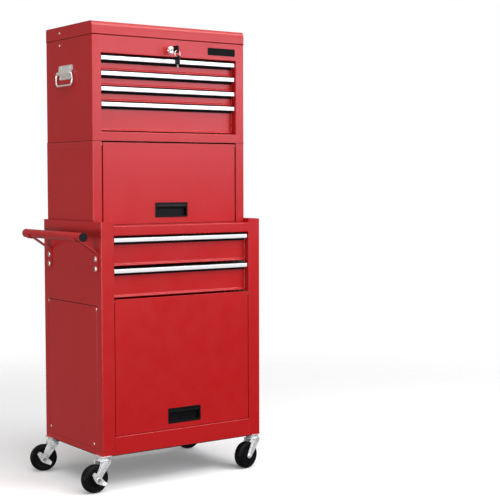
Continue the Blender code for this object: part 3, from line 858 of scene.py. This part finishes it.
def cross_head(name, side, face, y, z, radius, body, material):
    """A pan-head screw on a side panel; its crossed recess is a flat dark cross of painted shade."""
    head = dome(0, side, face, (y, z), radius, radius * 0.42)
    make(name, [head], material, body, bevel=0)
    # The recess is not cut into the head: a thin dark cross sunk in its top is painted shade of the recess.
    top = face + side * radius * 0.43
    arm = radius * 0.55
    thin = radius * 0.12
    depth = sorted((top - side * 0.25, top + side * 0.02))
    first = block(depth, (y - arm, y + arm), (z - thin, z + thin))
    second = block(depth, (y - thin, y + thin), (z - arm, z + arm))
    make(f"{name}_recess", [first, second], DARK, body, bevel=0)


def panel_screws():
    """One screw near each corner of the access panel."""
    low, high = mm_box("access_panel")
    places = {
        "top_front": (low.y + 3, high.z - 9),
        "top_rear": (high.y - 3, high.z - 6),
        "bottom_front": (low.y + 22, low.z + 12),
        "bottom_rear": (high.y - 8, low.z + 19),
    }
    for tag, (y, z) in places.items():
        cross_head(f"panel_screw_{tag}", -1, low.x, y, z, SCREW_HEAD, "lower_cabinet", CHROME)


def handle_bolts():
    """Two bolts with washers through the foot of each handle bracket."""
    for tag in ("front", "rear"):
        low, high = mm_box(f"handle_bracket_{tag}")
        y = (low.y + high.y) / 2
        face = high.x - 2.4
        for level, z in BOLT_LEVELS:
            name = f"{tag}_{level}"
            profile = [(face, WASHER), (face - 0.8, WASHER), (face - 1.0, WASHER - 0.4)]
            washer = turned(profile, 0, (y, z), 28)
            make(f"handle_washer_{name}", [washer], ZINC, "lower_cabinet", bevel=0)
            cross_head(f"handle_bolt_{name}", -1, face - 1.0, y, z, BOLT_HEAD, "lower_cabinet", CHROME)


def stay_rivets():
    """Rivet heads on the outside, where the lid stays are fixed to the lid and the chest."""
    low, high = mm_box("top_lid")
    for tag, side in SIDES:
        face = high.x if side > 0 else low.x
        for body, joint in (("top_chest", f"stay_lower_{tag}_pivot"), ("lid", f"stay_upper_{tag}_pivot")):
            pivot = joint_point(joint)
            head = dome(0, side, face, (pivot.y, pivot.z), 3.2, 1.4)
            make(f"stay_rivet_{tag}_{body}", [head], CHROME, body, bevel=0)


panel_screws()
handle_bolts()
stay_rivets()


# ---------------------------------------------------------------- badge, lock and keys

# Corners of the badge as x and z, and the radius of the keys' split ring.
BADGE_LOW = (121.5, 1174.8)
BADGE_HIGH = (213.5, 1195.2)
RING_RADIUS = 8.4


def badge():
    """A plain black plate at the right end of the top rail."""
    face = mm_box("top_body")[0].y
    plate = prism(rounded(BADGE_LOW, BADGE_HIGH, 1.2), 1, face - 1.0, face - 0.02)
    make("badge_plate", [plate], DARK, "top_chest", bevel=0.3)


def lock_face():
    """Bright collar around the turning barrel."""
    centre = joint_point("lock_turn")
    front = centre.y
    collar = [(front - 0.1, 10.5), (front - 1.6, 10.2), (front - 3.4, 8.8), (front - 4.4, 7.4)]
    collar += [(front - 4.4, 5.6), (front - 3.2, 5.2), (front - 0.1, 5.2), (front - 0.1, 10.5)]
    make("lock_collar", [turned(collar, 1, (0, centre.z), 40)], CHROME, "top_chest", bevel=0)


def bow(low, high, hole, half):
    """The moulded head of a key, with a hole for the split ring."""
    head = rounded(low, high, 5.5, 7)
    last = len(head) - 1
    rim = arc(hole, 2.3, 0, 360 * last / len(head), last)
    return ring_prism(head, rim, 0, -half, half)


def keys():
    """A key in the lock, and a spare that hangs from a split ring through the first one's head."""
    low, high = mm_box("key")
    z = joint_point("lock_turn").z
    hole_y, hole_z = low.y + 5, z - 4
    head = bow((low.y, z - 10), (low.y + 24, z + 10), (hole_y, hole_z), 2.2)
    make("key_bow", [head], PLASTIC, "lock", bevel=0.5, node="key")
    blade = block((-0.8, 0.8), (low.y + 23, high.y), (z - 3.4, z + 3.4))
    make("key_blade", [blade], BLADE, "lock", bevel=0.25)
    ring_z = hole_z - RING_RADIUS
    loop = []
    for i in range(36):
        a = 2 * math.pi * i / 36
        loop.append((RING_RADIUS * math.sin(a), hole_y, ring_z + RING_RADIUS * math.cos(a)))
    make("key_ring", [swept(loop, 0.95, 10, closed=True)], CHROME, "lock", bevel=0)
    top = ring_z - RING_RADIUS
    head = bow((hole_y - 10.5, top - 21), (hole_y + 10.5, top + 3.6), (hole_y, top), 2.0)
    make("spare_bow", [head], PLASTIC, "lock", bevel=0.5)
    edge = [(hole_y - 3.4, top - 18), (hole_y + 3.4, top - 18), (hole_y + 3.4, top - 32)]
    edge += [(hole_y, top - 34.6), (hole_y - 1.4, top - 33), (hole_y - 2.0, top - 30)]
    edge += [(hole_y - 3.4, top - 28.5), (hole_y - 2.2, top - 26), (hole_y - 3.4, top - 23.5)]
    make("spare_blade", [prism(edge, 0, -0.8, 0.8)], BLADE, "lock", bevel=0.2)


badge()
lock_face()
keys()


# ---------------------------------------------------------------- carrying handles

# Corners of the wire as y and z from its pivot, and both faces of the plate off the chest's side.
BAIL_PATH = ((-30, 0), (-43, 0), (-48, -20), (-42, -33), (42, -33), (48, -20), (43, 0), (30, 0))
PLATE_GAP = 0.3
PLATE_FACE = 1.8


def bail(tag, side):
    """Riveted plate with a curled sleeve, and the wire loop that swings in it."""
    pivot = joint_point(f"bail_{tag}_swing")
    x, y, z = pivot
    wall = side * CHEST_X
    outline = [(y - 34, z - 16.5), (y + 34, z - 16.5), (y + 34, z + 5), (y + 42, z + 7), (y + 39, z + 22)]
    outline += [(y - 39, z + 22), (y - 42, z + 7), (y - 34, z + 5)]
    reach = sorted((wall + side * PLATE_GAP, wall + side * PLATE_FACE))
    plate = prism(eased(outline, 2.5, 3, closed=True), 0, *reach)
    sleeve = [(y - 38, 2.9), (y - 38, 5.2), (y + 38, 5.2), (y + 38, 2.9), (y - 38, 2.9)]
    curl = turned(sleeve, 1, (x, z), 28)
    node = f"bail_plate_{tag}"
    make(f"bail_{tag}_plate", [plate, curl], CHROME, "top_chest", bevel=0.3, node=node)
    heads = []
    for dy in (-26, 26):
        heads.append(dome(0, side, wall + side * PLATE_FACE, (y + dy, z + 14.5), 3.0, 1.2))
    make(f"bail_{tag}_rivets", heads, ZINC, "top_chest", bevel=0)
    path = [(x, y + dy, z + dz) for dy, dz in BAIL_PATH]
    wire = swept(eased(path, 5.0, 5), 2.4, 14)
    make(f"bail_{tag}_loop", [wire], CHROME, f"bail_{tag}", bevel=0, sharp=60, node=f"bail_wire_{tag}")


def bails():
    """The left and the right carrying handle."""
    for tag, side in SIDES:
        bail(tag, side)


bails()


# ---------------------------------------------------------------- casters

# The axle's height, both faces of a fork leg and the brake's place beside it.
CASTERS = ("front_left", "front_right", "rear_left", "rear_right")
BRAKED = ("front_left", "rear_left")
AXLE_Z = 38.0
LEG_INNER = 14.4
LEG_OUTER = 16.4
BRAKE_FACE = -22.6


def caster_frame(tag):
    """Matrix of a caster: its swivel axis is local Z and its axle lies along local Y."""
    swivel = joint_point(f"caster_{tag}_swivel")
    roll = Vector(JOINTS[f"caster_{tag}_roll"]["axis"])
    turn = math.atan2(-roll.x, roll.y)
    shift = Matrix.Translation(Vector((swivel.x, swivel.y, 0)) * MM)
    return shift @ Matrix.Rotation(turn, 4, "Z")


def caster_plate(tag):
    """Mounting plate with the ball race pressed below it."""
    node = f"caster_plate_{tag}"
    swivel = joint_point(f"caster_{tag}_swivel")
    low, high = mm_box(node)
    outline = rounded((low.x, low.y), (high.x, high.y), 3.0)
    plate = prism(outline, 2, high.z - 2.5, high.z)
    steps = [(high.z - 2.4, 15.5), (90.5, 15.5), (88.0, 14.0), (86.0, 11.0)]
    race = turned(steps, 2, (swivel.x, swivel.y), 32)
    make(f"caster_mount_{tag}", [plate, race], ZINC, "lower_cabinet", bevel=0.3, node=node)


def fork_leg(back, side):
    """Outline of one leg: wide under the race, narrowing to a round end about the axle."""
    leg = [(12, 84.0), (13.5, 78), (back + 8.2, 34)]
    leg += arc((back, AXLE_Z), 8.4, -25, -180, 8)
    leg += [(-18.5, 78), (-17.5, 84.0)]
    return prism(leg, 1, *across(LEG_INNER, LEG_OUTER, side))


def fork(tag, matrix, back):
    """Pressed yoke with a domed crown, stiffening ribs, and the axle with its nuts."""
    crown = [(82.6, 17.0), (83.2, 19.0), (85.0, 19.0), (86.4, 17.4), (87.4, 15.9), (87.4, 0.0)]
    axle = (back, AXLE_Z)
    shapes = [turned(crown, 2, (0, 0), 36)]
    shapes.append(block((-17.5, 12), (-LEG_OUTER, LEG_OUTER), (82.7, 84.7)))
    for side in (-1, 1):
        shapes.append(fork_leg(back, side))
        rib = [(-9.5, 80), (4.5, 80), (back + 4.4, 47), (back - 1.0, 47)]
        shapes.append(prism(eased(rib, 2.0, 2, closed=True), 1, *across(16.2, 17.1, side)))
        shapes.append(turned([(depth, 6.6) for depth in across(16.2, 17.4, side)], 1, axle, 28))
        shapes.append(turned([(depth, 5.0) for depth in across(17.2, 20.2, side)], 1, axle, 6))
    shapes.append(turned([(-17, 3.6), (17, 3.6)], 1, axle, 20))
    body = f"caster_swivel_{tag}"
    make(f"caster_yoke_{tag}", shapes, ZINC, body, bevel=0.35, matrix=matrix, node=f"caster_fork_{tag}")


def wheel(tag, matrix, back):
    """Solid rubber wheel: rounded tread, a raised band and a groove on each face, and a hub."""
    face = [(4.2, 13.0), (8.6, 13.0), (9.4, 11.0), (23.0, 9.8), (25.0, 11.4), (28.0, 11.7)]
    face += [(29.0, 10.9), (30.2, 10.9), (31.2, 11.9), (33.6, 11.6), (35.9, 9.9), (37.1, 7.2), (37.9, 3.8)]
    profile = [(-depth, radius) for radius, depth in face]
    profile += [(depth, radius) for radius, depth in face[::-1]]
    profile.append(profile[0])
    tyre = turned(profile, 1, (back, AXLE_Z), 64)
    own = f"caster_wheel_{tag}"
    make(f"caster_tyre_{tag}", [tyre], RUBBER, own, bevel=0, matrix=matrix, sharp=50, node=own)


def brake(tag, matrix, back):
    """Stamped foot lever on the axle, with a tab turned out at each end."""
    near = BRAKE_FACE
    plan = [(-19, 52), (-14.5, 58.5), (-9, 58), (7, 44), (20, 30), (19.5, 24), (14, 20.5), (5, 24)]
    plan += [(-7, 30), (-15, 43)]
    outline = [(back + a, b) for a, b in plan]
    shapes = [prism(eased(outline, 2.6, 3, closed=True), 1, near, near + 1.6)]
    for start, end in (((-19, 51.5), (-14, 58.2)), ((20, 29.8), (15.0, 21.0))):
        along = (Vector(end) - Vector(start)).normalized()
        out = Vector((-along.y, along.x)) * 1.5
        first = Vector((back + start[0], start[1]))
        last = Vector((back + end[0], end[1]))
        tab = [tuple(p) for p in (first, last, last + out, first + out)]
        shapes.append(prism(tab, 1, near - 7, near + 1))
    boss = [(near - 1.6, 6.0), (near - 1.6, 3.7), (near + 1.2, 3.7), (near + 1.2, 6.0), (near - 1.6, 6.0)]
    shapes.append(turned(boss, 1, (back, AXLE_Z), 28))
    own = f"caster_brake_{tag}"
    make(f"caster_lever_{tag}", shapes, ZINC, own, bevel=0.3, matrix=matrix, node=own)


def casters():
    """Four casters; the axle lies behind the swivel axis by the caster's trail."""
    for tag in CASTERS:
        matrix = caster_frame(tag)
        swivel = joint_point(f"caster_{tag}_swivel")
        axle = joint_point(f"caster_{tag}_roll")
        back = -math.hypot(axle.x - swivel.x, axle.y - swivel.y)
        caster_plate(tag)
        fork(tag, matrix, back)
        wheel(tag, matrix, back)
        if tag in BRAKED:
            brake(tag, matrix, back)


casters()


# ---------------------------------------------------------------- camera, floor and light

# The camera's place is in cabinet millimetres; floor and lights are in metres.
CAMERA_LENS = 88.17
CAMERA_PLACE = (-1791.2, -2822.2, 825.7)
CAMERA_YAW = math.radians(35.50)
CAMERA_PITCH = math.radians(-3.289)
CAMERA_ROLL = math.radians(-0.125)
FLOOR_RADIUS = 3.2
FLOOR_FADE = (0.9, 2.6)
ROOM_FRONT = 0.12
ROOM_BACK = 0.27
MIDDLE = (0.0, 0.0, 0.9)
WHITE = (1.0, 1.0, 1.0)
COOL = (0.88, 0.84, 1.0)


def add_camera():
    """A level studio view from the front left."""
    data = bpy.data.cameras.new("camera")
    data.sensor_width = 36.0
    data.lens = CAMERA_LENS
    data.clip_start = 0.05
    data.clip_end = 60.0
    camera = bpy.data.objects.new("camera", data)
    bpy.context.scene.collection.objects.link(camera)
    level = math.cos(CAMERA_PITCH)
    forward = Vector((math.sin(CAMERA_YAW) * level, math.cos(CAMERA_YAW) * level, math.sin(CAMERA_PITCH)))
    place = Matrix.Translation(ORIGIN + Vector(CAMERA_PLACE) * MM)
    aim = forward.to_track_quat("-Z", "Y").to_matrix().to_4x4()
    camera.matrix_world = place @ aim @ Matrix.Rotation(CAMERA_ROLL, 4, "Z")
    bpy.context.scene.camera = camera


def add_floor():
    """A pale floor that fades into the white surround before its own edge."""
    bm = bmesh.new()
    bmesh.ops.create_circle(bm, cap_ends=True, segments=96, radius=FLOOR_RADIUS)
    mesh = bpy.data.meshes.new("floor")
    bm.to_mesh(mesh)
    bm.free()
    n = Nodes("pale_floor")
    n.set(Base_Color=(0.91, 0.91, 0.91, 1.0), Roughness=0.7, Specular_IOR_Level=0.2)
    n.set(Emission_Color=(1.0, 1.0, 1.0, 1.0), Emission_Strength=0.1)
    distance = n.add("ShaderNodeVectorMath", operation="LENGTH")
    n.link(n.where, distance.inputs[0])
    fade = n.add("ShaderNodeMapRange", interpolation_type="SMOOTHSTEP")
    fade.inputs["From Min"].default_value = FLOOR_FADE[0]
    fade.inputs["From Max"].default_value = FLOOR_FADE[1]
    n.link(distance.outputs["Value"], fade.inputs["Value"])
    clear = n.add("ShaderNodeBsdfTransparent")
    mixed = n.add("ShaderNodeMixShader")
    n.link(fade.outputs["Result"], mixed.inputs["Fac"])
    n.link(n.shader.outputs["BSDF"], mixed.inputs[1])
    n.link(clear.outputs["BSDF"], mixed.inputs[2])
    n.link(mixed.outputs["Shader"], n.tree.nodes["Material Output"].inputs["Surface"])
    mesh.materials.append(n.material)
    made = bpy.data.objects.new("floor", mesh)
    bpy.context.scene.collection.objects.link(made)
    made.location.z = -0.0004
    made.visible_glossy = False
    made.visible_diffuse = False


def add_area(name, place, target, size, power, colour=WHITE):
    """A rectangular light, with its place, target and size in metres and its power in watts."""
    data = bpy.data.lights.new(name, "AREA")
    data.shape = "RECTANGLE"
    data.size, data.size_y = size
    data.energy = power
    data.color = colour
    light = bpy.data.objects.new(name, data)
    bpy.context.scene.collection.objects.link(light)
    light.location = place
    light.rotation_euler = (Vector(target) - Vector(place)).to_track_quat("-Z", "Y").to_euler()


def add_world():
    """White where the camera looks past the object, and on it a grey light, dimmer in front than behind."""
    world = bpy.data.worlds.new("studio")
    bpy.context.scene.world = world
    world.use_nodes = True
    tree = world.node_tree
    seen = tree.nodes["Background"]
    seen.inputs["Color"].default_value = (1.0, 1.0, 1.0, 1.0)
    seen.inputs["Strength"].default_value = 1.0
    ambient = tree.nodes.new("ShaderNodeBackground")
    ambient.inputs["Color"].default_value = (1.0, 0.99, 0.98, 1.0)
    heading = tree.nodes.new("ShaderNodeTexCoord")
    parts = tree.nodes.new("ShaderNodeSeparateXYZ")
    room = tree.nodes.new("ShaderNodeMapRange")
    room.inputs["From Min"].default_value = -0.6
    room.inputs["From Max"].default_value = 0.6
    room.inputs["To Min"].default_value = ROOM_FRONT
    room.inputs["To Max"].default_value = ROOM_BACK
    tree.links.new(heading.outputs["Generated"], parts.inputs[0])
    tree.links.new(parts.outputs["Y"], room.inputs["Value"])
    tree.links.new(room.outputs["Result"], ambient.inputs["Strength"])
    path = tree.nodes.new("ShaderNodeLightPath")
    mixed = tree.nodes.new("ShaderNodeMixShader")
    tree.links.new(path.outputs["Is Camera Ray"], mixed.inputs["Fac"])
    tree.links.new(ambient.outputs["Background"], mixed.inputs[1])
    tree.links.new(seen.outputs["Background"], mixed.inputs[2])
    tree.links.new(mixed.outputs["Shader"], tree.nodes["World Output"].inputs["Surface"])


add_camera()
add_floor()
add_world()
add_area("softbox", (1.9, -2.6, 1.35), MIDDLE, (2.0, 0.55), 21, COOL)
add_area("front_key", (1.8, -2.5, 2.8), MIDDLE, (2.4, 0.35), 44)
add_area("front_fill", (-0.4, -3.2, 0.9), (0.0, 0.0, 0.3), (2.4, 1.6), 40)
add_area("overhead", (-0.1, -1.9, 4.0), (0.0, 0.0, 0.4), (6.0, 6.0), 250)
add_area("left_fill", (-3.0, -0.5, 0.45), (0.0, 0.0, 0.2), (1.6, 0.8), 38)
bpy.context.scene.view_settings.view_transform = "Standard"
